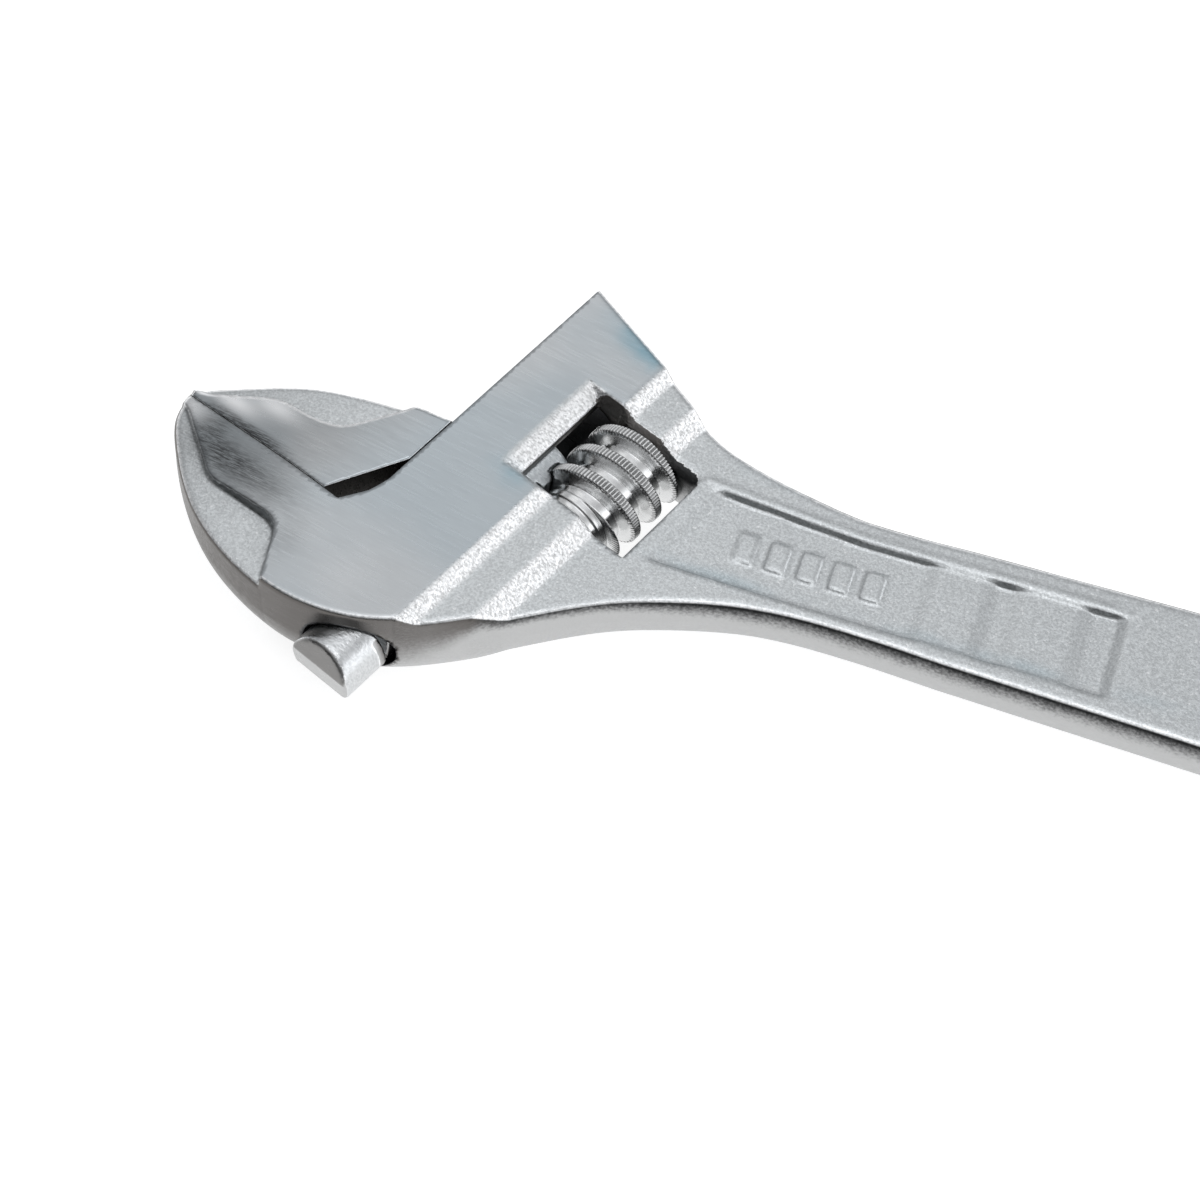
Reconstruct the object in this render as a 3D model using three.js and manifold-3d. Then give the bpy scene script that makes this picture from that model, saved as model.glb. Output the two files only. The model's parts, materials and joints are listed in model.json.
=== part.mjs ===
// Adjustable wrench, nominal length 375 mm, jaws closed, lying flat.
//
// Drawing frame: the origin is where the jaw faces meet the front edge of the head, at mid
// thickness; +X runs along the handle to its tail, +Y to the upper corner of the head, +Z up.
// The head is drawn in its own axes: u runs from the jaw tips to the handle, v is the way the
// movable jaw closes. The finished group is moved so that its origin is the bottom centre.

import * as THREE from 'three';
import { mergeVertices } from 'three/addons/utils/BufferGeometryUtils.js';
import Module from 'manifold-3d';

const wasm = await Module();
wasm.setup();

// ---- driving dimensions, in millimetres and radians ----
const JAW_ANGLE = THREE.MathUtils.degToRad(22.5);
const RUNNING_GAP = 0.3;              // clearance between parts that slide or turn

const HEAD_HALF = 12;                 // half thickness of the ground head plate
const BAND_HALF = 9.7;                // half thickness of the first step down
const HANDLE_HALF = 5.6;              // half thickness of the handle
const TIP_HALF = 7.1;                 // half thickness at the jaw tips
const RIM_HALF = 8.8;                 // half thickness of the jaws' outer rims
const JAW_DEPTH = 46;                 // jaw tip to the front edge of the head
const TIP_SLOPE_U = -12;              // where the plates start to slope down to the tips
const TOP_CORNER_V = -72.3;           // upper corner of the head, on its front edge
const DRAFT = 0.7;                    // how far the forged walls lean in over half the head's thickness

const HANDLE_START_X = 115;           // where the handle edges become straight
const HANDLE_TOP_Y = 35.7;
const HANDLE_LOW_Y = 7.8;
const HANDLE_SPREAD = 0.02;           // how fast each edge of the handle moves outwards
const TAIL_X = 331.3;                 // end of the handle
const HANGING_HOLE_R = 6.5;

const PITCH = 6.3;                    // pitch of the worm and of the rack
const WORM_U = 28.3;                  // axis of the worm
const WORM_R = 10.65;
const WORM_CORE_R = 7.5;
const WORM_CREST_WIDTH = 2;
const WORM_ROOT_WIDTH = 4.4;
const WORM_CREST_V = -48.3;           // a crest's place on the side of the worm facing the rack
const WINDOW = { u0: 17, u1: 43.1, v0: -51.6, v1: -28.9 };
const WORM_END_GAP = 0.4;
const WORM_HUB = 2.2;                 // plain hub at the lower end of the worm

const PIN_R = 2.6;
const PIN_HEAD_R = 3.4;
const PIN_V = { top: -64.6, neck: -56, foot: -22 };
const SPRING_MEAN_R = 3.85;
const SPRING_WIRE_R = 0.45;
const SPRING_TURNS = 4;
const SPRING_POCKET = { r: 4.9, depth: 7.5 };

const SHANK_U = 14.5;                 // axis of the movable jaw's round shank
const SHANK_R = 7.3;
const SHANK_V = { top: -39.6, foot: 25.8 };
const RACK_FLAT_U = 20.2;             // the tips of the rack teeth
const RACK_END_V = 16;
const SHANK_CHAMFER = 2.4;
const NECK = { half: 3.9, v0: -28, v1: -15.8 };

const PANEL = { y0: 11.6, y1: 30.3, leftY1: 32, u0: 45.6, x1: 147.4, depth: 1.2, padDepth: 0.35 };
const PADS = [[109.6, 118.8], [126.7, 137.3]];   // raised cross pads in the handle panel
const BEVEL = { reach: 3.4, depth: 2.3 };    // slope around the worm window

// ---- axes of the head ----
const U = new THREE.Vector3(Math.cos(JAW_ANGLE), -Math.sin(JAW_ANGLE), 0);
const V = new THREE.Vector3(-Math.sin(JAW_ANGLE), -Math.cos(JAW_ANGLE), 0);
const Z = new THREE.Vector3(0, 0, 1);

/** The point of the drawing frame at u, v. */
function at(u, v) {
  return new THREE.Vector2(u * U.x + v * V.x, u * U.y + v * V.y);
}

/** A list of [u, v] pairs as points of the drawing frame. */
const headPoints = (pairs) => pairs.map(([u, v]) => at(u, v));

/** A list of [x, y] pairs as points. */
const flatPoints = (pairs) => pairs.map(([x, y]) => new THREE.Vector2(x, y));

// ---- solids ----

/** A closed three.js geometry as a manifold solid. */
function solid(geometry) {
  const bare = geometry.index ? geometry.toNonIndexed() : geometry.clone();
  bare.deleteAttribute('normal');
  bare.deleteAttribute('uv');
  const merged = mergeVertices(bare, 1e-4);
  return new wasm.Manifold(new wasm.Mesh({
    numProp: 3,
    vertProperties: new Float32Array(merged.attributes.position.array),
    triVerts: new Uint32Array(merged.index.array),
  }));
}

/** A manifold solid as a named mesh. */
function piece(name, body, material) {
  const mesh = body.getMesh();
  const geometry = new THREE.BufferGeometry();
  geometry.setAttribute('position', new THREE.BufferAttribute(mesh.vertProperties, 3));
  geometry.setIndex(new THREE.BufferAttribute(mesh.triVerts, 1));
  geometry.computeVertexNormals();
  const result = new THREE.Mesh(geometry, material);
  result.name = name;
  return result;
}

/** An outline in the XY plane, extruded from z0 to z1. */
function prism(shape, z0, z1, curveSegments = 10) {
  const geometry = new THREE.ExtrudeGeometry(shape, { depth: z1 - z0, bevelEnabled: false, curveSegments });
  geometry.translate(0, 0, z0);
  return solid(geometry);
}

/** An outline in the (u, z) plane, extruded along v from v0 to v1. */
function alongV(shape, v0, v1, curveSegments = 16) {
  const geometry = new THREE.ExtrudeGeometry(shape, { depth: v1 - v0, bevelEnabled: false, curveSegments });
  geometry.translate(0, 0, v0);
  geometry.applyMatrix4(new THREE.Matrix4().makeBasis(U, Z, V));
  return solid(geometry);
}

/** A round bar along v, centred on u at mid thickness. */
function roundBar(u, radius, v0, v1) {
  const circle = new THREE.Shape();
  circle.absarc(u, 0, radius, 0, 2 * Math.PI, false);
  return alongV(circle, v0, v1);
}

/** A block with sides along u, v and z. */
function block(u0, u1, v0, v1, z0, z1) {
  return prism(new THREE.Shape(headPoints([[u0, v0], [u0, v1], [u1, v1], [u1, v0]])), z0, z1);
}

/** The same solid seen in the mid-plane mirror, joined to itself. */
function bothSides(body) {
  return body.add(body.mirror([0, 0, 1]));
}

/** The body of a taper between two [u0, u1, v0, v1, z] rectangles, lower one first. */
function taper(lower, upper) {
  const corners = [lower, upper].flatMap(([u0, u1, v0, v1, z]) =>
    headPoints([[u0, v1], [u1, v1], [u1, v0], [u0, v0]]).map((p) => [p.x, p.y, z]));
  const faces = [[3, 2, 1, 0], [4, 5, 6, 7], [0, 1, 5, 4], [1, 2, 6, 5], [2, 3, 7, 6], [3, 0, 4, 7]];
  const triangles = faces.flatMap(([a, b, c, d]) => [a, b, c, a, c, d]);
  const geometry = new THREE.BufferGeometry();
  geometry.setAttribute('position', new THREE.Float32BufferAttribute(corners.flat(), 3));
  geometry.setIndex(triangles);
  return solid(geometry);
}

// ---- outlines ----

/** An outline with forged walls: full size at mid thickness, leaning in by DRAFT at both faces. */
function forging(shape) {
  const flat = 0.02;
  const geometry = new THREE.ExtrudeGeometry(shape, {
    depth: flat,
    bevelThickness: HEAD_HALF - flat / 2,
    bevelSize: DRAFT,
    bevelOffset: -DRAFT,
    bevelSegments: 1,
    curveSegments: 10,
  });
  geometry.translate(0, 0, -flat / 2);
  return solid(geometry);
}

/** The silhouette of the body at mid thickness, carried past the faces that are ground later. */
function bodyOutline() {
  const spread = (TAIL_X - HANDLE_START_X) * HANDLE_SPREAD;
  const tailTop = HANDLE_TOP_Y + spread;
  const tailLow = HANDLE_LOW_Y - spread;
  const tailR = (tailTop - tailLow) / 2;
  const corner = at(0, TOP_CORNER_V);
  const pastCorner = at(-5, TOP_CORNER_V - 1.2);
  const outline = new THREE.Shape();
  outline.moveTo(pastCorner.x, pastCorner.y);
  for (const p of headPoints([[-5, -6], [-46, -4], [-JAW_DEPTH - 0.5, 0.15]])) {
    outline.lineTo(p.x, p.y);
  }
  outline.splineThru(flatPoints([[-43.6, 12.7], [-41.2, 6.3], [-33.8, -5.4], [-24, -14.5], [-11.2, -21.1],
    [0, -23.2], [13.3, -22.1], [29.9, -14.1], [49, -1.8], [65.7, 4.4], [84.8, 8.6],
    [HANDLE_START_X, HANDLE_LOW_Y]]));
  outline.lineTo(TAIL_X - tailR, tailLow);
  outline.absarc(TAIL_X - tailR, (tailTop + tailLow) / 2, tailR, -Math.PI / 2, Math.PI / 2, false);
  outline.lineTo(HANDLE_START_X, HANDLE_TOP_Y);
  outline.splineThru(flatPoints([[95, 35.3], [80, 37.3], [67.5, 40], [58.8, 43.8], [47.7, 52]]));
  outline.lineTo(corner.x, corner.y);
  return outline;
}

/** What is left in front after grinding: front edge, throat and the fixed jaw's face. */
function groundFront() {
  return new THREE.Shape(headPoints([[0, -90], [0, -9.7], [-1.1, -5.1], [-4.3, 0.15], [-60, 0.15], [-60, 60],
    [360, 60], [360, -260], [0, -260]]));
}

/** Side view of the body: tapered jaw, flat head plate, two step bands, handle. */
function bodySideView() {
  const upper = [[-50, TIP_HALF - 0.5], [-JAW_DEPTH, TIP_HALF], [TIP_SLOPE_U, HEAD_HALF], [22.4, HEAD_HALF],
    [24.3, BAND_HALF], [32, BAND_HALF], [35.7, 6.6], [70, HANDLE_HALF], [340, HANDLE_HALF]];
  const lower = upper.map(([u, z]) => [u, -z]).reverse();
  return new THREE.Shape(flatPoints([...upper, ...lower]));
}

/** Outlines of the jaws' outer rims, which lie lower than the ground plates. */
const FIXED_RIM = [[-44, 2.3], [-27.6, 12.2], [-12.1, 11.3], [-9.2, 12.4], [-2.5, 23.6], [-1.5, 32], [-55, 32],
  [-55, 2.3]];
const MOVABLE_RIM = [[-44, -1.6], [-30.3, -10.4], [-21, -11.1], [-15.6, -12.9], [-11.4, -19.9], [-7.6, -26.6],
  [-7.6, -40], [-55, -40], [-55, -1.6]];

/** What is sunk from a jaw to leave its rim: the rim's outline above the rim's own side view. */
function aboveRim(rim) {
  const under = new THREE.Shape(flatPoints([[-60, -1], [-60, 5], [-JAW_DEPTH, 6.3], [-26, RIM_HALF],
    [60, RIM_HALF], [60, -1]]));
  return bothSides(prism(new THREE.Shape(headPoints(rim)), 0, 20).subtract(alongV(under, -60, 60)));
}

/** The movable jaw seen from above at mid thickness, carried past its ground faces. */
function movableJawOutline() {
  const outline = new THREE.Shape();
  const start = at(-JAW_DEPTH - 0.6, 3);
  outline.moveTo(start.x, start.y);
  for (const p of headPoints([[4, 3], [4.5, -30.3]])) {
    outline.lineTo(p.x, p.y);
  }
  outline.splineThru(headPoints([[-2, -28.3], [-10.7, -25.7], [-27.5, -17.8], [-41.6, -6.6],
    [-JAW_DEPTH - 0.4, -1.6]]));
  return outline;
}

/** The movable jaw's ground faces: jaw face, relief behind it, and the face at the head's edge. */
function movableJawGround() {
  return new THREE.Shape(headPoints([[-60, -0.15], [-60, -60], [-0.4, -60], [-0.4, -15.8], [-8.3, -0.15]]));
}

// ---- the worm ----

/**
 * A stretch of screw thread about the v axis through WORM_U: a trapezium (r, v) carried round
 * a helix of the given pitch. Angle 0 points along +u and angle 90 degrees along +z, and the
 * thread rises against v by one pitch for each turn, a right-hand thread.
 */
function threadStretch(from, to, steps, { rootR, crestR, rootWidth, crestWidth }) {
  const section = [[rootR, -rootWidth / 2], [rootR, rootWidth / 2], [crestR, crestWidth / 2],
    [crestR, -crestWidth / 2]];
  const positions = [];
  for (let step = 0; step <= steps; step += 1) {
    const angle = from + ((to - from) * step) / steps;
    const centreV = WORM_CREST_V + ((angle - Math.PI) * PITCH) / (2 * Math.PI);
    for (const [r, dv] of section) {
      const p = at(WORM_U + r * Math.cos(angle), centreV + dv);
      positions.push(p.x, p.y, r * Math.sin(angle));
    }
  }
  const last = 4 * steps;
  const triangles = [0, 2, 1, 0, 3, 2, last, last + 1, last + 2, last, last + 2, last + 3];
  for (let step = 0; step < steps; step += 1) {
    for (let side = 0; side < 4; side += 1) {
      const a = 4 * step + side;
      const b = 4 * step + ((side + 1) % 4);
      triangles.push(a, b, b + 4, a, b + 4, a + 4);
    }
  }
  const geometry = new THREE.BufferGeometry();
  geometry.setAttribute('position', new THREE.Float32BufferAttribute(positions, 3));
  geometry.setIndex(triangles);
  return solid(geometry);
}

/** The knurled adjusting worm: core, thread, bore for the pin and a pocket for the spring. */
function makeWorm() {
  const top = WINDOW.v0 + WORM_END_GAP;
  const foot = WINDOW.v1 - WORM_END_GAP;
  const turns = Math.ceil((foot - top) / PITCH) + 1;
  const thread = threadStretch(-Math.PI, (2 * turns - 1) * Math.PI, 40 * turns, {
    rootR: WORM_CORE_R - 0.5, crestR: WORM_R, rootWidth: WORM_ROOT_WIDTH, crestWidth: WORM_CREST_WIDTH,
  });
  return roundBar(WORM_U, WORM_CORE_R, top, foot)
    .add(thread.intersect(roundBar(WORM_U, WORM_R + 1, top, foot - WORM_HUB)))
    .subtract(roundBar(WORM_U, PIN_R + RUNNING_GAP, top - 1, foot + 1))
    .subtract(roundBar(WORM_U, SPRING_POCKET.r, foot - SPRING_POCKET.depth, foot + 1));
}

/** The worm's thread with room to run, repeated along the whole rack. */
function rackCutter() {
  const room = 2 * RUNNING_GAP;
  const first = -2;
  const last = Math.ceil((RACK_END_V - WORM_CREST_V) / PITCH);
  const arc = THREE.MathUtils.degToRad(70);
  let cutter = null;
  for (let turn = first; turn < last; turn += 1) {
    const middle = Math.PI + 2 * Math.PI * turn;
    const cut = threadStretch(middle - arc, middle + arc, 20, {
      rootR: WORM_CORE_R - 0.6,
      crestR: WORM_R + RUNNING_GAP,
      rootWidth: WORM_ROOT_WIDTH + room,
      crestWidth: WORM_CREST_WIDTH + room,
    });
    cutter = cutter ? cutter.add(cut) : cut;
  }
  return cutter;
}

// ---- the pieces ----

/** Forged body: head plate with the fixed jaw, step bands, worm window and handle. */
function makeBody() {
  const slotHalf = NECK.half + RUNNING_GAP;
  return forging(bodyOutline())
    .intersect(prism(groundFront(), -20, 20))
    .intersect(alongV(bodySideView(), -170, 60))
    .subtract(aboveRim(FIXED_RIM))
    .subtract(bothSides(windowBevel()))
    .subtract(block(WINDOW.u0, WINDOW.u1, WINDOW.v0, WINDOW.v1, -20, 20))
    .subtract(roundBar(SHANK_U, SHANK_R + RUNNING_GAP, -90, 60))
    .subtract(block(-20, SHANK_U, -90, NECK.v1 + 0.8, -slotHalf, slotHalf))
    .subtract(roundBar(WORM_U, PIN_R + RUNNING_GAP, -90, PIN_V.foot + RUNNING_GAP))
    .subtract(roundBar(WORM_U, PIN_HEAD_R + RUNNING_GAP, -90, PIN_V.neck + RUNNING_GAP))
    .subtract(bothSides(handlePanel()))
    .subtract(prism(hangingHole(), -20, 20));
}

/** The hole in the tail, concentric with its round end. */
function hangingHole() {
  const tailR = (HANDLE_TOP_Y - HANDLE_LOW_Y) / 2 + (TAIL_X - HANDLE_START_X) * HANDLE_SPREAD;
  const hole = new THREE.Shape();
  hole.absarc(TAIL_X - tailR, (HANDLE_TOP_Y + HANDLE_LOW_Y) / 2, HANGING_HOLE_R, 0, 2 * Math.PI, false);
  return hole;
}

/** The slope that leads from the head plate down into the worm window. */
function windowBevel() {
  const { u0, u1, v0, v1 } = WINDOW;
  const { reach, depth } = BEVEL;
  const above = 1;
  const grow = 1 + above / depth;
  return taper(
    [u0, u1, v0, v1, HEAD_HALF - depth],
    [u0 - reach * grow, u1, v0 - 0.8 * reach * grow, v1 + 0.3 * reach * grow, HEAD_HALF + above],
  );
}

/** The sunk panel on the handle with its two cross pads left standing. */
function handlePanel() {
  const { y0, y1, leftY1, u0, x1, depth, padDepth } = PANEL;
  const leftX = (y) => (u0 + y * Math.sin(JAW_ANGLE)) / Math.cos(JAW_ANGLE);
  const area = new THREE.Shape(flatPoints([[leftX(y0), y0], [x1, y0], [x1, y1], [95, y1 - 0.4],
    [leftX(leftY1), leftY1]]));
  let panel = prism(area, HANDLE_HALF - depth, 20);
  for (const [x0, xEnd] of PADS) {
    const pad = new THREE.Shape(flatPoints([[x0, y0 - 1], [xEnd, y0 - 1], [xEnd, y1 + 1], [x0, y1 + 1]]));
    panel = panel.subtract(prism(pad, 0, HANDLE_HALF - padDepth));
  }
  return panel;
}

/** Movable jaw: jaw head, neck that rides in the slot, and round shank with the rack. */
function makeMovableJaw() {
  const outline = movableJawOutline();
  const inwards = U.clone().multiplyScalar(0.5 * DRAFT).addScaledVector(V, 0.85 * DRAFT);
  const faces = prism(outline, -HEAD_HALF, HEAD_HALF).translate(inwards.toArray());
  const head = wasm.Manifold.hull([prism(outline, -0.05, 0.05), faces])
    .intersect(prism(movableJawGround(), -20, 20))
    .intersect(alongV(bodySideView(), -60, 20))
    .subtract(aboveRim(MOVABLE_RIM));
  const neck = block(-4, SHANK_U, NECK.v0, NECK.v1, -NECK.half, NECK.half);
  const shank = roundBar(SHANK_U, SHANK_R, SHANK_V.top, SHANK_V.foot)
    .subtract(bothSides(shankEndSlope()))
    .subtract(block(RACK_FLAT_U, SHANK_U + 20, SHANK_V.top - 5, RACK_END_V, -20, 20))
    .subtract(rackCutter());
  return head.add(neck).add(shank);
}

/** The slope on the end of the shank, above its parting line: a wedge across the bar. */
function shankEndSlope() {
  const { foot } = SHANK_V;
  const reach = SHANK_R + 1;
  return taper(
    [SHANK_U - reach, SHANK_U + reach, foot, foot + 4, 0.8],
    [SHANK_U - reach, SHANK_U + reach, foot - SHANK_CHAMFER, foot + 4, reach],
  );
}

/** Slotted pin that the worm turns on, screwed in from the upper edge of the head. */
function makePin() {
  const slot = block(WORM_U - 5, WORM_U + 5, PIN_V.top - 1, PIN_V.top + 1.3, -0.6, 0.6);
  return roundBar(WORM_U, PIN_R, PIN_V.neck - 1, PIN_V.foot)
    .add(roundBar(WORM_U, PIN_HEAD_R, PIN_V.top, PIN_V.neck))
    .subtract(slot);
}

/** Small coil spring in the worm's pocket, round the pin: a wire carried along a helix. */
function makeSpring() {
  const v1 = WINDOW.v1 - RUNNING_GAP - SPRING_WIRE_R;
  const v0 = WINDOW.v1 - WORM_END_GAP - SPRING_POCKET.depth + RUNNING_GAP + SPRING_WIRE_R;
  class Coil extends THREE.Curve {
    getPoint(t, target = new THREE.Vector3()) {
      const angle = 2 * Math.PI * SPRING_TURNS * t;
      const p = at(WORM_U + SPRING_MEAN_R * Math.cos(angle), v0 + (v1 - v0) * t);
      return target.set(p.x, p.y, SPRING_MEAN_R * Math.sin(angle));
    }
  }
  const wire = new THREE.Shape();
  wire.absarc(0, 0, SPRING_WIRE_R, 0, 2 * Math.PI, false);
  return solid(new THREE.ExtrudeGeometry(wire, {
    steps: 18 * SPRING_TURNS, curveSegments: 4, bevelEnabled: false, extrudePath: new Coil(),
  }));
}

// ---- materials and assembly ----
const forgedSteel = new THREE.MeshStandardMaterial({ color: 0xc3c7ca, metalness: 0.95, roughness: 0.34 });
const jawSteel = new THREE.MeshStandardMaterial({ color: 0xc6cacd, metalness: 0.95, roughness: 0.3 });
const wormSteel = new THREE.MeshStandardMaterial({ color: 0xd2d4d5, metalness: 1, roughness: 0.2 });
const pinSteel = new THREE.MeshStandardMaterial({ color: 0xb4b6b8, metalness: 1, roughness: 0.3 });
const springSteel = new THREE.MeshStandardMaterial({ color: 0x9c9ea0, metalness: 1, roughness: 0.35 });

const wrench = new THREE.Group();
wrench.add(
  piece('body', makeBody(), forgedSteel),
  piece('movable_jaw', makeMovableJaw(), jawSteel),
  piece('worm', makeWorm(), wormSteel),
  piece('worm_pin', makePin(), pinSteel),
  piece('worm_spring', makeSpring(), springSteel),
);

const extent = new THREE.Box3().setFromObject(wrench);
const centre = extent.getCenter(new THREE.Vector3());
wrench.position.set(-centre.x, -centre.y, -extent.min.z);
wrench.updateMatrixWorld(true);

export default wrench;
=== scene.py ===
"""Adjustable wrench, nominal 375 mm, jaws closed, lying flat: surfaces, finishes, light and camera.

Shapes are worked out in the drawing frame, in millimetres: the origin is where the jaw faces meet
the front edge of the head, at mid thickness; x runs to the tail, y to the upper corner of the head.
The head has its own axes: u from the jaw tips to the handle, v the way the movable jaw closes.
"""
import json
import math

import bpy
import numpy as np
from mathutils import Matrix, Vector


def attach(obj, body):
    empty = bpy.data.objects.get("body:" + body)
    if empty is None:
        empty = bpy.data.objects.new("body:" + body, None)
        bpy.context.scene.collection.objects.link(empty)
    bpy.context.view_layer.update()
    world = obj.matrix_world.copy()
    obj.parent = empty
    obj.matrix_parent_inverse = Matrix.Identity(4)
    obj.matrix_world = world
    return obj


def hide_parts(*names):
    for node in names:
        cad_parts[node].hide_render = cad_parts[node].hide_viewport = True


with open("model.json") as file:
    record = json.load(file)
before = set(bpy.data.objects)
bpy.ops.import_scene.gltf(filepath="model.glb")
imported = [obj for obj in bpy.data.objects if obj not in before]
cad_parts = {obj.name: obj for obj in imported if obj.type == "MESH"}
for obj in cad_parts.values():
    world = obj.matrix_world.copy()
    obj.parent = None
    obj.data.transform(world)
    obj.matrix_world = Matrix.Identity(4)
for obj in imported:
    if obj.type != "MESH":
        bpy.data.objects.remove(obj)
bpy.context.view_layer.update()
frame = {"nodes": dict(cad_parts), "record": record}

MM = 0.001
JAW_ANGLE = math.radians(22.5)
COS, SIN = math.cos(JAW_ANGLE), math.sin(JAW_ANGLE)
BRUSH_ANGLE = math.radians(12)

# ---- driving dimensions of the wrench, in millimetres ----
GAP = 0.3
HEAD_HALF, BAND_HALF, BAND_FOOT, HANDLE_HALF = 12.0, 9.7, 6.6, 5.6
TIP_HALF, RIM_HALF, RIM_TIP_HALF = 7.1, 8.8, 6.3
JAW_DEPTH, TIP_SLOPE_U, TOP_CORNER_V = 46.0, -12.0, -72.3
DRAFT, UNDER_BULGE = 0.7, 4.6
HANDLE_START_X, HANDLE_TOP_Y, HANDLE_LOW_Y, HANDLE_SPREAD, TAIL_X = 115.0, 35.7, 7.8, 0.02, 331.3
TAIL_R = (HANDLE_TOP_Y - HANDLE_LOW_Y) / 2 + (TAIL_X - HANDLE_START_X) * HANDLE_SPREAD
TAIL_Y = (HANDLE_TOP_Y + HANDLE_LOW_Y) / 2
HOLE_R, HOLE_ROUND = 6.5, 1.2
PITCH, WORM_U, WORM_R, CORE_R, CREST_V = 6.3, 28.3, 10.65, 7.5, -48.3
CREST_WIDTH, ROOT_WIDTH, WORM_END_GAP, HUB = 2.0, 4.4, 0.4, 3.7
WIN_U0, WIN_U1, WIN_V0, WIN_V1 = 17.0, 43.1, -51.6, -28.9
PIN_R, PIN_HEAD_R, PIN_NECK_V, PIN_FOOT_V = 2.6, 3.4, -56.0, -22.0
SHANK_U, SHANK_R, SHANK_TOP_V, SHANK_FOOT_V = 14.5, 7.3, -39.6, 25.8
SHANK_SLOPE, FOOT_FLAT = 1.85, 2.4
BORE_U, BORE_R = SHANK_U + 0.2, SHANK_R + 0.75
RACK_FLAT_U, RACK_END_V = 20.2, 16.0
NECK_HALF, NECK_V0, NECK_V1 = 3.9, -28.0, -15.8
PANEL_DEPTH, PANEL_LOW_Y, PANEL_LEFT_U, PANEL_RIGHT_X = 1.2, 11.6, 45.6, 147.4
PADS = ((109.6, 118.8), (126.7, 137.3))
BAR_COUNT, BAR_X, BAR_Y, BAR_STEP, BAR_HALF_WIDTH, BAR_HALF_LENGTH = 5, 72.6, 21.2, 6.4, 1.3, 2.6
BAR_HEIGHT = 0.45
POCKET_R, POCKET_DEPTH = 4.9, 7.5
KNURL_TEETH, KNURL_DEPTH = 84, 0.45

# Areas of the jaws' forged rims, in u and v; their outer corners lie past the jaws.
FIXED_RIM = ((-44, 2.3), (-27.6, 12.2), (-12.1, 11.3), (-9.2, 12.4), (-2.5, 23.6), (-1.5, 32),
             (-55, 32), (-55, 2.3))
MOVABLE_RIM = ((-44, -1.6), (-30.3, -10.4), (-21, -11.1), (-15.6, -12.9), (-11.4, -19.9), (-7.6, -26.6),
               (-7.6, -40), (-55, -40), (-55, -1.6))


def from_head(pairs):
    """Points given in the head's u and v, as x and y of the drawing frame."""
    uv = np.asarray(pairs, float)
    return np.c_[uv[:, 0] * COS - uv[:, 1] * SIN, -uv[:, 0] * SIN - uv[:, 1] * COS]


def head_axes(x, y):
    """u and v of a point of the drawing frame: a turn by the jaw angle, with v pointing down."""
    return x * COS - y * SIN, -x * SIN - y * COS


# The worm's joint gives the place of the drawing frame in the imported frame.
SPIN = next(j for j in frame["record"]["behaviour"]["joints"] if j["name"] == "worm_spin")
WORM_MID = from_head([(WORM_U, (WIN_V0 + WIN_V1) / 2)])[0]
SHIFT = np.array([SPIN["pos_m"][0] / MM - WORM_MID[0], SPIN["pos_m"][1] / MM - WORM_MID[1],
                  SPIN["pos_m"][2] / MM])

# ---- camera ----
CAMERA_PLACE = (123.8, -248.8, 438.25)
CAMERA_RIGHT = (0.94703, 0.32038, 0.02239)
CAMERA_LOOK = (-0.14671, 0.49357, -0.85725)
CAMERA_LENS = 79.31


def add_camera():
    """A camera looking down on the head at 59 degrees, from the handle side."""
    data = bpy.data.cameras.new("camera")
    data.lens, data.sensor_width = CAMERA_LENS, 36
    data.clip_start, data.clip_end = 0.01, 20
    camera = bpy.data.objects.new("camera", data)
    bpy.context.scene.collection.objects.link(camera)
    right, look = Vector(CAMERA_RIGHT), Vector(CAMERA_LOOK)
    up = right.cross(look).normalized()
    turn = Matrix((right, up, -look)).transposed().to_4x4()
    camera.matrix_world = Matrix.Translation((np.array(CAMERA_PLACE) + SHIFT) * MM) @ turn
    bpy.context.scene.camera = camera


add_camera()


# ---- formulas that shapes share ----

def ramp(lo, hi, t):
    """0 below lo, 1 above hi, and 3s^2 - 2s^3 between."""
    s = np.clip((t - lo) / (hi - lo), 0, 1)
    return s * s * (3 - 2 * s)


def blend_max(a, b, k):
    """The larger of a and b, with the corner between them rounded over a width k."""
    s = np.clip(0.5 + 0.5 * (a - b) / k, 0, 1)
    return b + (a - b) * s + k * s * (1 - s)


def blend_min(a, b, k):
    """The smaller of a and b, with the corner between them filled over a width k."""
    return -blend_max(-a, -b, k)


def curve_through(points, steps=10):
    """A Catmull-Rom curve through the points: a cubic between each two, with the slope at a point
    half the way from the one before it to the one after."""
    p = np.asarray(points, float)
    before, after = np.r_[p[:1], p[:-1]][:-1], np.r_[p[2:], p[-1:]]
    a, b = p[:-1], p[1:]
    t = (np.arange(steps) / steps)[None, :, None]
    slope0, slope1 = ((b - before) / 2)[:, None], ((after - a) / 2)[:, None]
    a, b = a[:, None], b[:, None]
    line = (2 * a - 2 * b + slope0 + slope1) * t ** 3 + (3 * b - 3 * a - 2 * slope0 - slope1) * t ** 2
    return np.r_[(line + slope0 * t + a).reshape(-1, 2), p[-1:]]


def eased(line, reach=5):
    """A line whose inner points are each the mean of their neighbours up to a reach away."""
    ahead = [np.minimum(np.arange(len(line)) + i, len(line) - 1) for i in range(reach + 1)]
    behind = [np.maximum(np.arange(len(line)) - i, 0) for i in range(1, reach + 1)]
    mean = sum(line[index] for index in ahead + behind) / (2 * reach + 1)
    return np.r_[line[:1], mean[1:-1], line[-1:]]


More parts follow.
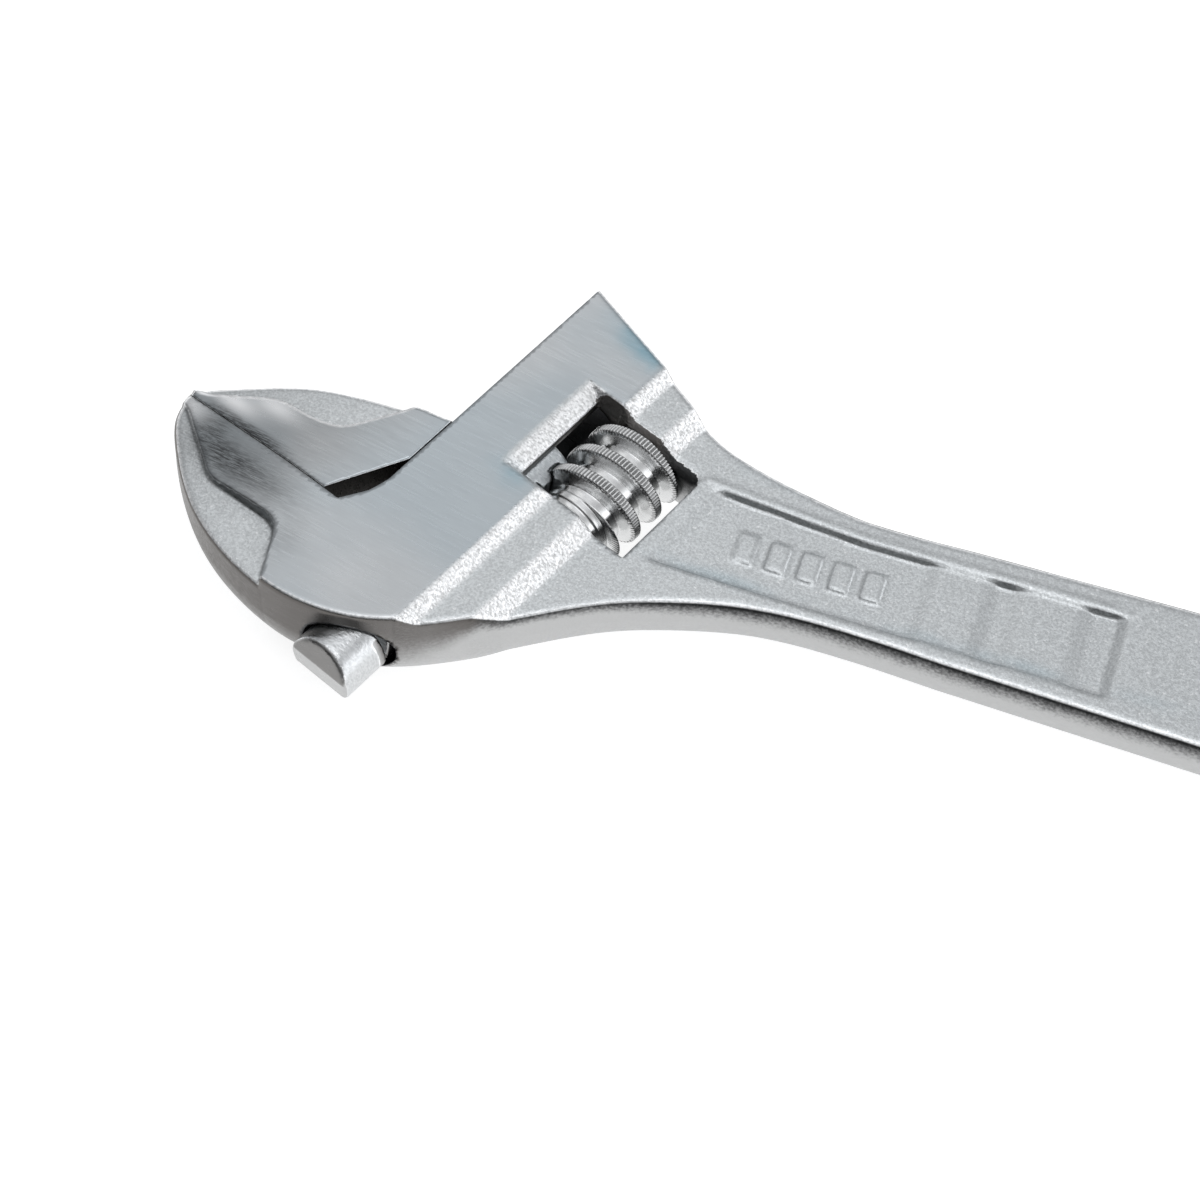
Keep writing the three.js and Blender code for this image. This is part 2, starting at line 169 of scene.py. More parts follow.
def outline_distance(corners, x, y):
    """Distance from a point to a closed outline, less than 0 inside: the nearest of its sides, with
    the sign from how many of them lie to one side of the point."""
    x, y = np.broadcast_arrays(x, y)
    nearest, inside = np.full(x.shape, 1e9), np.zeros(x.shape, bool)
    corners = np.asarray(corners, float)
    for (ax, ay), (bx, by) in zip(corners, np.roll(corners, -1, axis=0)):
        dx, dy = bx - ax, by - ay
        along = np.clip(((x - ax) * dx + (y - ay) * dy) / max(dx * dx + dy * dy, 1e-12), 0, 1)
        nearest = np.minimum(nearest, (x - ax - along * dx) ** 2 + (y - ay - along * dy) ** 2)
        if dy != 0:
            inside ^= ((ay > y) != (by > y)) & (x < ax + (y - ay) * dx / dy)
    return np.where(inside, -1, 1) * np.sqrt(nearest)


def softened(corners, reach):
    """An outline with each corner cut back by a reach along both its sides and rounded by a
    quadratic curve."""
    corner = np.asarray(corners, float)[:, None]
    before, after = np.roll(corner, 1, axis=0) - corner, np.roll(corner, -1, axis=0) - corner
    start = corner + before * np.minimum(reach / np.linalg.norm(before, axis=2, keepdims=True), 0.45)
    end = corner + after * np.minimum(reach / np.linalg.norm(after, axis=2, keepdims=True), 0.45)
    t = np.linspace(0, 1, 5)[None, :, None]
    return ((1 - t) ** 2 * start + 2 * t * (1 - t) * corner + t * t * end).reshape(-1, 2)


def bar_distance(u, z, centre_u, radius):
    """Distance from a round bar along v, less than 0 inside."""
    return np.hypot(u - centre_u, z) - radius


# ---- outlines ----

def body_outline():
    """The body from above at mid thickness: jaw, curved back, tapering handle with a round end."""
    turn = np.linspace(-np.pi / 2, np.pi / 2, 25)
    tail = np.c_[TAIL_X - TAIL_R + TAIL_R * np.cos(turn), TAIL_Y + TAIL_R * np.sin(turn)]
    front = from_head([(-5, TOP_CORNER_V - 1.2), (-5, -6), (-JAW_DEPTH, -4), (-JAW_DEPTH - 0.5, 0.15)])
    bends = [(-43.6, 12.7), (-41.2, 6.3), (-33.8, -5.4), (-24, -14.5), (-11.2, -21.1), (0, -23.4),
             (13.3, -22.2), (29.9, -14.1), (49, -1.8), (65.7, 4.4), (84.8, 8.6)]
    back = eased(curve_through(np.r_[front[-1:], bends, [(HANDLE_START_X, HANDLE_LOW_Y)]]))
    upper = curve_through([(HANDLE_START_X, HANDLE_TOP_Y), (95, 35.3), (80, 37.3), (67.5, 40),
                           (58.8, 43.8), (47.7, 52)])
    return np.r_[front[:-1], back, tail, upper, from_head([(0, TOP_CORNER_V)])]


def jaw_outline():
    """The movable jaw from above at mid thickness, past its ground faces."""
    rim = curve_through(from_head([(4.5, -30.3), (-2, -28.3), (-10.7, -25.7), (-27.5, -17.8),
                                   (-41.6, -6.6), (-JAW_DEPTH - 0.4, -1.6)]))
    return np.r_[from_head([(-JAW_DEPTH - 0.6, 3), (4, 3)]), rim]


BODY_OUTLINE, JAW_OUTLINE = body_outline(), jaw_outline()
BODY_FRONT = from_head([(0, -90), (0, -9.7), (-0.5, -7.3), (-1.1, -5.1), (-4.3, 0.15), (-60, 0.15),
                        (-60, 60), (360, 60), (360, -260), (0, -260)])
JAW_FRONT = from_head([(-60, -0.15), (-60, -60), (-0.4, -60), (-0.4, -15.8), (-8.3, -0.15)])
FIXED_EDGE, MOVABLE_EDGE = softened(FIXED_RIM, 2.2), softened(MOVABLE_RIM, 3.0)
PANEL_SLOPE_X = tuple((PANEL_LEFT_U - 1 + y * SIN) / COS for y in (PANEL_LOW_Y, 32.0))
PANEL_AREA = ((PANEL_SLOPE_X[0], PANEL_LOW_Y), (PANEL_RIGHT_X, PANEL_LOW_Y), (PANEL_RIGHT_X, 30.3),
              (95, 29.9), (PANEL_SLOPE_X[1], 32.0))


# ---- heights of the faces above mid thickness ----

def plate_height(u):
    """The ground plate, sloping down to the jaw tips, then two step bands down to the handle."""
    stations = (22.3, 25.1, 31.7, 35.8, 70, 400)
    heights = (HEAD_HALF, BAND_HALF, BAND_HALF, BAND_FOOT, HANDLE_HALF, HANDLE_HALF)
    soft = 0.45
    steps_down = sum(np.interp(u + d, stations, heights) for d in (-soft, 0, soft)) / 3
    slope = (HEAD_HALF - TIP_HALF) / (JAW_DEPTH + TIP_SLOPE_U)
    return steps_down - slope * blend_max(TIP_SLOPE_U - u, 0 * u, 12)


def rim_height(u):
    """The forged rim outside a jaw's ground plate: straight stretches, as a mean over 18 mm."""
    stations, heights = (-60, -JAW_DEPTH, -26, 60), (5, RIM_TIP_HALF, RIM_HALF, RIM_HALF)
    return sum(np.interp(u + d, stations, heights) for d in (-9, -6, -3, 0, 3, 6, 9)) / 7


def lower_rim(height, distance, u):
    """The face drops to the rim inside a rim outline, over a narrow step."""
    rim = np.minimum(rim_height(u), height)
    return rim + (height - rim) * ramp(-0.4, 0.35, distance)


def window_slope(u, v):
    """The sloping border of the worm window: a wide slope on the jaw side, short ones at its ends."""
    along = np.maximum(np.maximum((WIN_U0 - u) / 3.7, (WIN_V0 - v) / 1.7), (v - WIN_V1) / 1.5)
    return BAND_HALF + 0.1 + (HEAD_HALF - BAND_HALF) * along


def window_fillet(u, v):
    """How far the face falls towards the window's upper edge: a flattened quarter circle."""
    radius, flattening = 3.0, 0.85
    inwards = np.clip(radius - (WIN_V0 - v), 0, radius)
    fall = flattening * (radius - np.sqrt(radius * radius - inwards ** 2))
    return fall * ramp(15.5, 19, u) * (1 - ramp(WIN_U1 - 2, WIN_U1, u)) * (v < WIN_V0 + 0.01)


def size_bars(x, y):
    """A row of plain raised bars: 1 on each of the round-cornered bars, falling to 0 beside them."""
    nearest = np.full(np.broadcast(x, y).shape, 1e9)
    for i in range(BAR_COUNT):
        across = np.abs(x - BAR_X - BAR_STEP * i) - BAR_HALF_WIDTH
        along = np.abs(y - BAR_Y + 0.05 * i) - BAR_HALF_LENGTH
        nearest = np.minimum(nearest, np.hypot(np.maximum(across, 0), np.maximum(along, 0)))
    return 1 - ramp(0.35, 1.05, nearest)


def panel_relief(x, y):
    """How far the handle panel is sunk: full depth inside its outline, easing up at both ends, less
    over the two pads and under the raised bars. A low lip runs along its upper edge."""
    distance = outline_distance(PANEL_AREA, x, y)
    pads = sum(ramp(x0 - 4.0, x0 + 1.2, x) * (1 - ramp(x1 - 0.8, x1 + 3.0, x)) for x0, x1 in PADS)
    run_in = 3.6
    left_end = ramp(PANEL_LEFT_U, PANEL_LEFT_U + run_in, head_axes(x, y)[0])
    right_end = 1 - ramp(PANEL_RIGHT_X - run_in, PANEL_RIGHT_X, x)
    sunk = PANEL_DEPTH * (1 - ramp(-0.9, 0.1, distance)) * (1 - 0.68 * pads) * left_end * right_end
    lip = 0.22 * np.exp(-((distance - 0.9) / 0.7) ** 2) * ramp(20, 26, y) * (1 - ramp(140, 147, x))
    return sunk - lip - BAR_HEIGHT * size_bars(x, y)


def body_height(x, y):
    """Height of the body's face: plate, bands, rim, window border and handle panel."""
    u, v = head_axes(x, y)
    height = lower_rim(plate_height(u), outline_distance(FIXED_EDGE, u, v), u)
    height = blend_min(height, np.maximum(window_slope(u, v), BAND_HALF + 0.1), 0.6)
    return height - window_fillet(u, v) - panel_relief(x, y)


def jaw_height(x, y):
    """Height of the movable jaw's face: plate, rim, and a plate that rises as a square towards the
    rim near the tip."""
    u, v = head_axes(x, y)
    across = v / np.minimum(-1.6 - 0.642 * (u + 44), -1)
    crown = 0.32 * np.clip(2 * across - 1, 0, 1.2) ** 2 * (1 - ramp(-30, -16, u))
    return lower_rim(plate_height(u) + crown, outline_distance(MOVABLE_EDGE, u, v), u)


# ---- solids, as formulas less than 0 inside ----

def block_distance(u, v, u0, u1, v0, v1):
    """Distance from a rectangle of the head, less than 0 inside."""
    across = np.abs(u - (u0 + u1) / 2) - (u1 - u0) / 2
    along = np.abs(v - (v0 + v1) / 2) - (v1 - v0) / 2
    outside = np.hypot(np.maximum(across, 0), np.maximum(along, 0))
    return np.minimum(np.maximum(across, along), 0) + outside


def forged_edge(u, z):
    """Width over which the forged edge is rounded: on the face narrow along the head, wider at the
    jaw tips and on the handle; underneath wider from the head to the handle."""
    face = np.interp(u, (-46, -30, 16, 45, 60), (1.8, 1.3, 1.2, 1.2, 1.8))
    under = np.interp(u, (-46, -30, 33), (1.8, 1.3, 2.2))
    return np.where(z > 0, face, under)


def wall_lean(z):
    """How far a forged wall leans in: evenly towards the face, and as a cubic curve underneath."""
    share = np.abs(z) / HEAD_HALF
    return np.where(z > 0, DRAFT * share, DRAFT * share + UNDER_BULGE * share ** 3)


def body_solid(x, y, z):
    """The body: inside its outline and below its faces, less the window, the shank's bore and its
    slot, the pin's stepped bore and the hole in the tail."""
    u, v = head_axes(x, y)
    wall = outline_distance(BODY_OUTLINE, x, y) + wall_lean(z)
    solid = blend_max(wall, np.abs(z) - body_height(x, y), forged_edge(u, z))
    solid = np.maximum(solid, outline_distance(BODY_FRONT, x, y))
    solid = np.maximum(solid, -block_distance(u, v, WIN_U0, WIN_U1, WIN_V0, WIN_V1))
    solid = np.maximum(solid, -bar_distance(u, z, BORE_U, BORE_R))
    slot = np.maximum(np.maximum(np.abs(z) - NECK_HALF - GAP, u - SHANK_U), v - NECK_V1 - 0.8)
    solid = np.maximum(solid, -slot)
    for radius, foot_v in ((PIN_R, PIN_FOOT_V), (PIN_HEAD_R, PIN_NECK_V)):
        pin_bore = np.maximum(bar_distance(u, z, WORM_U, radius + GAP), v - foot_v - GAP)
        solid = np.maximum(solid, -pin_bore)
    hole = np.hypot(x - (TAIL_X - TAIL_R), y - TAIL_Y) - HOLE_R
    return blend_max(solid, -hole, HOLE_ROUND)


def thread_distance(u, v, z, room):
    """Distance from the worm's thread, with some room round it: conical flanks between root and
    crest along a rising helix."""
    angle = np.mod(np.arctan2(z, u - WORM_U), 2 * np.pi)
    radius = np.hypot(u - WORM_U, z)
    crest = CREST_V + (angle - np.pi) * PITCH / (2 * np.pi)
    away = np.abs(np.mod(v - crest + PITCH / 2, PITCH) - PITCH / 2)
    share = (radius - CORE_R) / (WORM_R - CORE_R)
    half = (ROOT_WIDTH + (CREST_WIDTH - ROOT_WIDTH) * share) / 2 + room
    return np.maximum(0.93 * (away - half), radius - WORM_R - room)


def foot_slope(z):
    """How far the shank's foot slopes back, above and below a flat middle."""
    return SHANK_SLOPE * np.maximum(np.abs(z) - FOOT_FLAT, 0) / (SHANK_R - FOOT_FLAT)


def shank_solid(u, v, z):
    """The round shank: flat with rack teeth on the worm side, its foot sloping back."""
    bar = bar_distance(u, z, SHANK_U, SHANK_R)
    slope = v - SHANK_FOOT_V + foot_slope(z)
    ends = blend_max(bar, np.maximum(slope, SHANK_TOP_V - v), 1.1)
    flat = np.minimum(u - RACK_FLAT_U, RACK_END_V - 1 - v)
    teeth = np.minimum(-thread_distance(u, v, z, 0.4), RACK_END_V - 1 - v)
    return np.maximum(np.maximum(ends, flat), teeth)


def jaw_solid(x, y, z):
    """The movable jaw: its head, the neck in the slot and the shank, joined."""
    u, v = head_axes(x, y)
    wall = outline_distance(JAW_OUTLINE, x, y) + DRAFT * np.abs(z) / HEAD_HALF
    head = blend_max(wall, np.abs(z) - jaw_height(x, y), forged_edge(u, np.ones_like(z)))
    head = np.maximum(head, outline_distance(JAW_FRONT, x, y))
    neck = np.maximum(block_distance(u, v, -4, SHANK_U, NECK_V0, NECK_V1), np.abs(z) - NECK_HALF)
    return np.minimum(np.minimum(head, neck), shank_solid(u, v, z))


# ---- from a formula to a surface ----

def crossings(solid, lines, value, axis):
    """Where the surface cuts the grid's edges along one axis: the edges' lower corners, the points,
    the slopes of the formula there, and whether each edge leaves the solid."""
    low = [slice(None)] * 3
    high = [slice(None)] * 3
    low[axis], high[axis] = slice(None, -1), slice(1, None)
    inside = value < 0
    corner = np.argwhere(inside[tuple(low)] != inside[tuple(high)])
    start = np.stack([lines[a][corner[:, a]] for a in range(3)], 1)
    step = np.zeros_like(start)
    step[:, axis] = lines[axis][corner[:, axis] + 1] - start[:, axis]
    beyond = corner.copy()
    beyond[:, axis] += 1
    f0, f1 = value[tuple(corner.T)], value[tuple(beyond.T)]
    leaves = f0 < 0
    t0, t1 = np.zeros(len(corner)), np.ones(len(corner))
    for halving in (False, True, False, True, False):
        t = (t0 + t1) / 2 if halving else t0 + (t1 - t0) * f0 / (f0 - f1)
        f = solid(*(start + t[:, None] * step).T)
        same = (f < 0) == (f0 < 0)
        t0, f0 = np.where(same, t, t0), np.where(same, f, f0)
        t1, f1 = np.where(same, t1, t), np.where(same, f1, f)
    t = np.where(np.abs(f0 - f1) > 1e-12, t0 + (t1 - t0) * f0 / np.where(f0 == f1, 1, f0 - f1), t0)
    point = start + t[:, None] * step
    nudges = 0.02 * np.eye(3)
    slope = np.stack([solid(*(point + nudge).T) - solid(*(point - nudge).T) for nudge in nudges], 1)
    slope /= np.maximum(np.linalg.norm(slope, axis=1, keepdims=True), 1e-9)
    return corner, point, slope, leaves


def skin(solid, xs, ys, zs):
    """The surface where a formula is 0, as points and four-sided faces. Each grid cell that the
    surface passes through gets one point, the one nearest to all the tangent planes where the
    surface cuts the cell's edges, which keeps edges sharp. Each cut edge gives one face, through
    the points of the four cells round it."""
    lines = (xs, ys, zs)
    shape = tuple(len(line) for line in lines)
    value = np.broadcast_to(solid(xs[:, None, None], ys[None, :, None], zs[None, None, :]), shape)
    cells, points, slopes, quads = [], [], [], []
    for axis in range(3):
        corner, point, slope, leaves = crossings(solid, lines, value, axis)
        one, two = (axis + 1) % 3, (axis + 2) % 3
        ring = []
        for back_one, back_two in ((1, 1), (0, 1), (0, 0), (1, 0)):
            cell = corner.copy()
            cell[:, one] -= back_one
            cell[:, two] -= back_two
            ring.append(np.ravel_multi_index(cell.T, shape))
            cells.append(ring[-1])
            points.append(point)
            slopes.append(slope)
        ring = np.stack(ring, 1)
        quads.append(np.where(leaves[:, None], ring, ring[:, ::-1]))
    names, place = np.unique(np.concatenate(cells), return_inverse=True)
    point, slope = np.concatenate(points), np.concatenate(slopes)

    def gather(amount):
        return np.bincount(place, amount, len(names))

    many = gather(np.ones(len(place)))
    middle = np.stack([gather(point[:, a]) / many for a in range(3)], 1)
    square = np.stack([np.stack([gather(slope[:, a] * slope[:, b]) for b in range(3)], 1)
                       for a in range(3)], 1)
    offset = (slope * (point - middle[place])).sum(1)
    pull = np.stack([gather(slope[:, a] * offset) for a in range(3)], 1)
    calm = 0.06 * np.eye(3)
    move = np.linalg.solve(square + calm, pull[:, :, None])[:, :, 0]
    index = np.stack(np.unravel_index(names, shape), 1)
    for a in range(3):
        low, high = lines[a][index[:, a]], lines[a][index[:, a] + 1]
        past = 0.1 * (high - low)
        middle[:, a] = np.clip(middle[:, a] + move[:, a], low - past, high + past)
    return middle, np.searchsorted(names, np.concatenate(quads))


def make_mesh(name, points, quads, marks=None):
    """A smooth mesh from points in the drawing frame, with a number for each point in each mark."""
    mesh = bpy.data.meshes.new(name)
    mesh.vertices.add(len(points))
    mesh.vertices.foreach_set("co", ((points + SHIFT) * MM).astype(np.float32).ravel())
    mesh.loops.add(quads.size)
    mesh.loops.foreach_set("vertex_index", quads.astype(np.int32).ravel())
    mesh.polygons.add(len(quads))
    mesh.polygons.foreach_set("loop_start", np.arange(0, quads.size, quads.shape[1], dtype=np.int32))
    mesh.update(calc_edges=True)
    mesh.validate()
    mesh.shade_smooth()
    for mark, amount in (marks or {}).items():
        layer = mesh.attributes.new(mark, "FLOAT", "POINT")
        layer.data.foreach_set("value", np.broadcast_to(amount, len(points)).astype(np.float32))
    piece = bpy.data.objects.new(name, mesh)
    bpy.context.scene.collection.objects.link(piece)
    return piece


def steps(*stretches):
    """Grid lines from stretches (from, to, spacing), one after the other."""
    lines = [np.arange(start, stop, spacing) for start, stop, spacing in stretches]
    return np.concatenate(lines + [[stretches[-1][1]]])


# ---- where each finish, painted shade and painted highlight lies ----

def patch(u, v, u0, v0, reach_u, reach_v):
    """A soft oval mark: 1 at its middle, falling off as a bell curve."""
    return np.exp(-((u - u0) / reach_u) ** 2 - ((v - v0) / reach_v) ** 2)


def body_marks(points, depth):
    """Marks of the body's finishes, painted shade and painted highlights. depth is how far each point
    lies below its face, and fall is how far down the wall it is, as a share of the band of painted shade
    at the top of the wall, which is wide on the fixed jaw and narrow on the curved back."""
    x, y, z = points.T
    u, v = head_axes(x, y)
    seam = outline_distance(FIXED_EDGE, u, v)
    border = ramp(-53.6, -53.0, v) * (1 - ramp(-27.6, -27.0, v)) * ramp(WIN_U0 - 4.4, WIN_U0 - 3.8, u)
    grain = np.maximum(np.maximum(1 - ramp(-0.6, 0.3, seam), ramp(22.0, 22.9, u)), border)
    step = ramp(22.1, 22.7, u) * (1 - ramp(24.9, 25.6, u))
    step = step + ramp(31.5, 32.1, u) * (1 - ramp(35.4, 36.2, u))
    slope = ramp(13.3, 13.9, u) * (1 - ramp(17.2, 17.4, u))
    slope = slope * ramp(-53.5, -53, v) * (1 - ramp(-27.8, -27.3, v))
    # Painted shade on the walls: low is the share of the way down the wall, clears is where the dark band
    # has cleared and dark is how strong it is, along the back of the head.
    low = np.clip(depth / np.maximum(2 * (depth + np.abs(z)), 1), 0, 0.5)
    low = np.where(z > 0, low, 1 - low)
    # Painted shade at full strength in the throat between the jaws and on the worm window's walls.
    front = (u < 3) & (v < 2)
    back = (-50, -42, -25, 8, 18, 27, 33, 40, 46, 59, 75, 110)
    clears = np.interp(u, back, (0.6, 1.1, 1.7, 1.5, 0.9, 0.65, 0.28, 0.26, 0.3, 0.42, 0.54, 0.54))
    dark = np.interp(u, back, (0.7, 0.88, 0.91, 0.9, 0.86, 0.8, 0.94, 0.98, 0.98, 0.98, 0.98, 0.98))
    # Painted shade, black, on the wall of the shank's bore, where the gap round the shank lies.
    bore = 1 - ramp(0.05, 0.35, bar_distance(u, z, BORE_U, BORE_R))
    window = (u > WIN_U0 - 1) & (u < WIN_U1 + 1) & (v > WIN_V0 - 0.3) & (v < WIN_V1 + 0.3)
    edge_tint = np.exp(-((v + 70 - 0.248 * u) / 3.2) ** 2) * ramp(2, 14, u) * (1 - ramp(20, 23, u))
    low_tint = np.exp(-((y - 13.2) / 1.6) ** 2) * ramp(40, 60, x)
    top_tint = ramp(33, 36, y - 0.02 * x) * ramp(60, 80, x)
    return {
        "grain": np.clip(grain, 0, 1),
        "bright": np.clip(step + slope, 0, 1),
        # depth: how far below the face; the window's fillet counts as deep wall, so it takes painted
        # shade
        "depth": np.clip(np.maximum(depth, 3 * ramp(0.2, 0.8, window_fillet(u, v))), 0, 3),
        # fall and dark: where and how strongly the walls get painted shade
        "fall": low / np.where(front | window, 0.9, clears) * (1 - bore),
        "dark": np.maximum(np.where(front, 0.97, dark), bore),
        # seam: distance from the rim's step, where a line of painted shade is drawn
        "seam": np.clip(seam, -3, 3),
        # dim: painted shade on the ground plate towards the jaw tips
        "dim": 1 - ramp(-24, -6, u),
        # painted highlight on the fixed jaw's plate near its tip
        "painted_highlight": patch(u, v, -44, 2, 5, 3) * (seam > 0),
        # dark streaks of wear on the fixed jaw
        "streak_and_painted_shade": 1.1 * patch(u, v, -29, 7, 9, 3.6) + 0.8 * patch(u, v, -36, 3, 4, 3)
        + 0.45 * patch(u, v, -17, 6.5, 8, 4) + 0.3 * patch(u, v, -6, 14, 4, 5),
        "tint": 1.1 * edge_tint + 0.9 * patch(u, v, 15.5, -26, 4, 2.6) + 0.3 * low_tint + 0.35 * top_tint,
    }


def jaw_marks(points, depth):
    """Marks of the movable jaw's finishes, painted shade and painted highlights, as on the body. The
    shank is bright, with painted shade where its flat comes out of the bore and on the slope of its foot."""
    x, y, z = points.T
    u, v = head_axes(x, y)
    seam = outline_distance(MOVABLE_EDGE, u, v)
    shank = ramp(1, 2, u)
    head = 1 - shank
    foot = v - SHANK_FOOT_V + foot_slope(z)
    # Painted shade: inner is the shank's flat where it shows in the gap of the bore, strip is the sloping
    # top of the foot, painted dark grey; the rest of the foot's end takes the plain wall colour.
    inner = (u > RACK_FLAT_U - 0.3) * ramp(12, 13, v) * (1 - ramp(14.5, 17, v))
    end = shank * ramp(-0.5, -0.1, foot)
    strip = end * (z > FOOT_FLAT - 0.1)
    # wedge: painted shade on the jaw's face beside the line where the jaws meet
    wedge = ramp(-43, -37, u) * (1 - ramp(-27, -13, u)) * ramp(-3.4 - 0.02 * u, -1.2, v)
    # painted highlights on the jaw's plate near its tip
    painted_highlight = 1.3 * patch(u, v, -37, -4.2, 6, 2.0) + 1.1 * patch(u, v, -29.5, -8.2, 6, 2.2)
    return {
        "grain": (1 - ramp(-0.6, 0.3, seam)) * head,
        "bright": 0.3 * shank,
        "depth": np.maximum(np.clip(depth, 0, 3) * head, 3 * np.maximum(inner, end)),
        "fall": head * np.clip((HEAD_HALF - z) / (1.5 * HEAD_HALF), 0, 1),
        "dark": np.maximum(np.maximum(0.9 * head, inner), 0.62 * strip),
        # seam: distance from the rim's step on the face, where a painted highlight line is drawn
        "seam": np.where((z > 0) & (depth < 2) & (u < 0), np.clip(seam, -3, 3), 3),
        # dim: painted shade on the ground plate towards the tip
        "dim": 0.8 * (1 - ramp(-24, 2, u)) * head,
        "painted_highlight": head * painted_highlight * (seam > 0),
        "streak_and_painted_shade": 1.2 * wedge * head,
        "tint": 0.0,
    }


# ---- finishes, with their painted shade and highlights ----

class Finish:
    """A node material under construction: small helpers that add and link nodes."""

    def __init__(self, name):
        self.material = bpy.data.materials.new(name)
        self.material.use_nodes = True
        self.nodes = self.material.node_tree.nodes
        self.links = self.material.node_tree.links
        self.nodes.clear()
        self.shader = self.nodes.new("ShaderNodeBsdfPrincipled")
        output = self.nodes.new("ShaderNodeOutputMaterial")
        self.links.new(self.shader.outputs[0], output.inputs[0])
        self.place = self.nodes.new("ShaderNodeTexCoord").outputs["Object"]

    def mark(self, name):
        """One of the numbers that the piece's points carry."""
        node = self.nodes.new("ShaderNodeAttribute")
        node.attribute_name = name
        return node.outputs["Fac"]

    def noise(self, scale, detail=3.0, stretch=(1, 1, 1), turn=0.0, roughness=0.5):
        """Scattered tones from 0 to 1. Scale times stretch is how many fit into a metre."""
        mapping = self.nodes.new("ShaderNodeMapping")
        mapping.vector_type = "POINT"
        spin = self.nodes.new("ShaderNodeMapping")
        spin.inputs["Rotation"].default_value = (0, 0, turn)
        self.links.new(self.place, spin.inputs["Vector"])
        self.links.new(spin.outputs[0], mapping.inputs["Vector"])
        mapping.inputs["Scale"].default_value = stretch
        node = self.nodes.new("ShaderNodeTexNoise")
        node.inputs["Scale"].default_value = scale
        node.inputs["Detail"].default_value = detail
        node.inputs["Roughness"].default_value = roughness
        self.links.new(mapping.outputs[0], node.inputs["Vector"])
        return node.outputs["Fac"]

    def math(self, kind, a, b=0.0, c=0.0, clamp=False):
        """A sum, product or other operation on up to three numbers."""
        node = self.nodes.new("ShaderNodeMath")
        node.operation, node.use_clamp = kind, clamp
        for socket, amount in zip(node.inputs, (a, b, c)):
            self.feed(socket, amount)
        return node.outputs[0]

    def feed(self, socket, amount):
        """Links a socket to another node's output, or sets it to a number."""
        if isinstance(amount, bpy.types.NodeSocket):
            self.links.new(amount, socket)
        else:
            socket.default_value = amount

    def span(self, amount, low, high, to_low=0.0, to_high=1.0):
        """Brings a number from one range to another, eased at both ends."""
        node = self.nodes.new("ShaderNodeMapRange")
        node.interpolation_type = "SMOOTHSTEP"
        names = ("Value", "From Min", "From Max", "To Min", "To Max")
        for name, value in zip(names, (amount, low, high, to_low, to_high)):
            self.feed(node.inputs[name], value)
        return node.outputs[0]

    def mix(self, share, a, b):
        """Colour a at share 0, colour b at share 1."""
        node = self.nodes.new("ShaderNodeMix")
        node.data_type = "RGBA"
        self.feed(node.inputs[0], share)
        for socket, colour in ((node.inputs[6], a), (node.inputs[7], b)):
            self.feed(socket, colour if isinstance(colour, bpy.types.NodeSocket) else (*colour, 1))
        return node.outputs[2]

    def bump(self, height, depth, below=None):
        """Tilts the shading as if a height of 1 stood depth metres above the surface."""
        node = self.nodes.new("ShaderNodeBump")
        node.inputs["Strength"].default_value = 1.0
        node.inputs["Distance"].default_value = depth
        self.feed(node.inputs["Height"], height)
        if below is not None:
            self.links.new(below, node.inputs["Normal"])
        return node.outputs[0]


GROUND = (0.505, 0.52, 0.53)
GROUND_BLUE = (0.41, 0.46, 0.49)
FORGED = (0.60, 0.622, 0.63)
BRIGHT = (0.72, 0.725, 0.725)
WHITE = (0.95, 0.955, 0.96)
TEAL = (0.22, 0.37, 0.44)
# Next two: a warm and a cool near-black for painted shade on the walls, in the bore and along the body's
# step line; the cool one also for dark streaks.
PAINTED_SHADE_WARM = (0.085, 0.076, 0.069)
SHADE_AND_STREAK_BLACK = (0.045, 0.046, 0.047)
WALL = (0.48, 0.483, 0.483)


def shaded(tone, amount):
    """A colour made lighter or darker."""
    return tuple(amount * c for c in tone)


